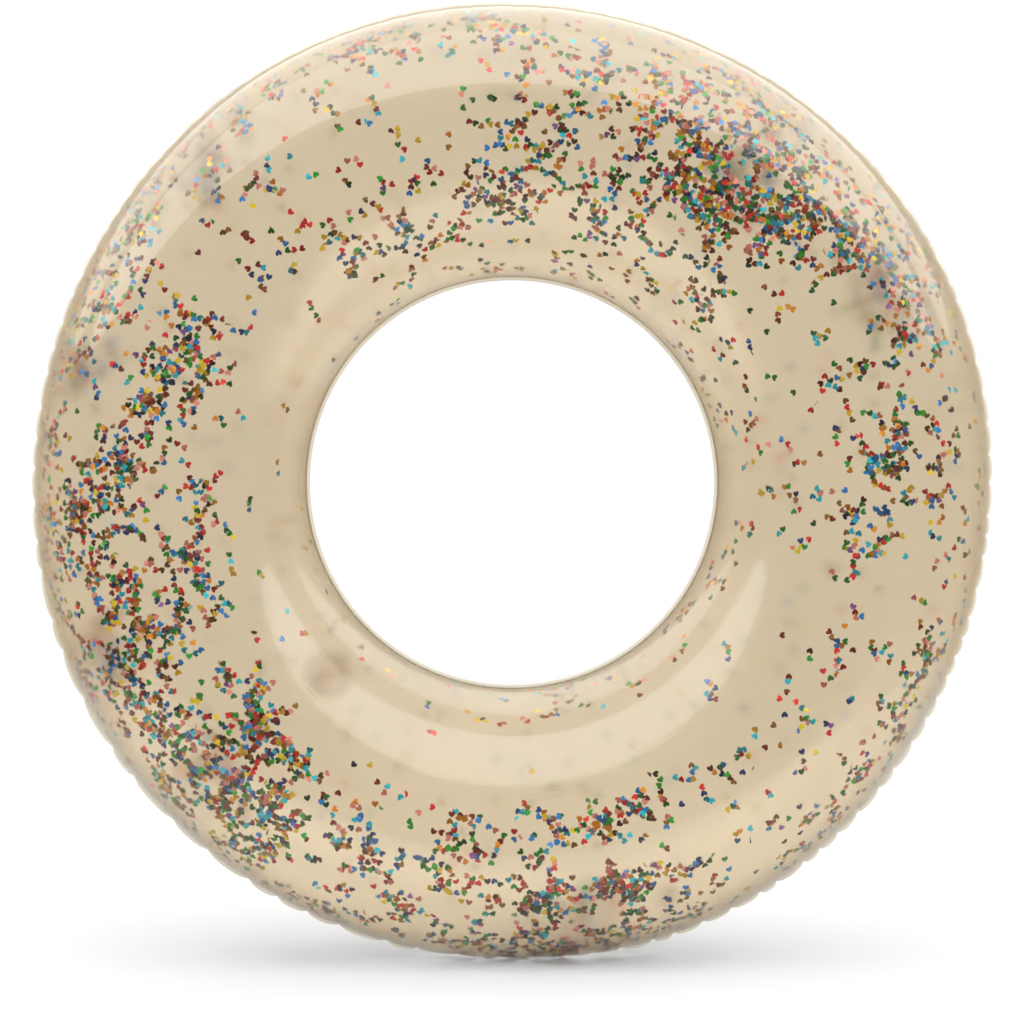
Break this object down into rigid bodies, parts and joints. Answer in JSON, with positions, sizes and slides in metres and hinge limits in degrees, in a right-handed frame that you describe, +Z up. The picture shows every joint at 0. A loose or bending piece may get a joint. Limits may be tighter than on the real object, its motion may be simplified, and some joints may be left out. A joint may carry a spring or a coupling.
{
  "type": "inflatable pool float",
  "caption": "Clear blown-up swim ring of welded film with loose heart-shaped foil confetti inside and a push-in stem valve on the back.",
  "frame": {"origin": "on the floor under the middle of the ring, at the centre of the flat the tube rests on", "axes": "+X to the right seen from the front, +Y along the ring's axis towards the back with the valve, +Z up"},
  "size_m": [0.6848, 0.1814, 0.6764],
  "materials": {
    "clear_film": "high gloss clear PVC film",
    "valve_vinyl": "satin moulded soft PVC",
    "foil_red": "metallised PET foil",
    "foil_maroon": "metallised PET foil",
    "foil_pink": "metallised PET foil",
    "foil_orange": "metallised PET foil",
    "foil_gold": "metallised PET foil",
    "foil_bronze": "metallised PET foil",
    "foil_green": "metallised PET foil",
    "foil_dark_green": "metallised PET foil",
    "foil_teal": "metallised PET foil",
    "foil_blue": "metallised PET foil",
    "foil_navy": "metallised PET foil",
    "foil_purple": "metallised PET foil"
  },
  "bodies": {
    "ring": {"front_film": "clear_film", "back_film": "clear_film", "valve_flange": "valve_vinyl", "valve_skirt": "valve_vinyl", "hearts_red": "foil_red", "hearts_maroon": "foil_maroon", "hearts_pink": "foil_pink", "hearts_orange": "foil_orange", "hearts_gold": "foil_gold", "hearts_bronze": "foil_bronze", "hearts_green": "foil_green", "hearts_dark_green": "foil_dark_green", "hearts_teal": "foil_teal", "hearts_blue": "foil_blue", "hearts_navy": "foil_navy", "hearts_purple": "foil_purple"},
    "neck": {"valve_neck": "valve_vinyl", "plug_tether": "valve_vinyl"},
    "plug": {"valve_plug": "valve_vinyl"},
    "flap": {"check_flap": "valve_vinyl"}
  },
  "joints": [
    {"name": "neck_push", "type": "slide", "parent": "ring", "child": "neck", "axis": [-0.3473, -0.866, -0.3597], "range_m": [0, 0.012], "deforming": ["valve_skirt"]},
    {"name": "plug_pull", "type": "slide", "parent": "neck", "child": "plug", "axis": [0.3473, 0.866, 0.3597], "range_m": [0, 0.01], "deforming": ["plug_tether"]},
    {"name": "flap_swing", "type": "hinge", "parent": "neck", "child": "flap", "pos_m": [-0.14343, 0.06928, 0.18548], "axis": [0.7193, 0, -0.6947], "range_deg": [0, 60], "stiffness_Nm_per_rad": 0.0005}
  ]
}
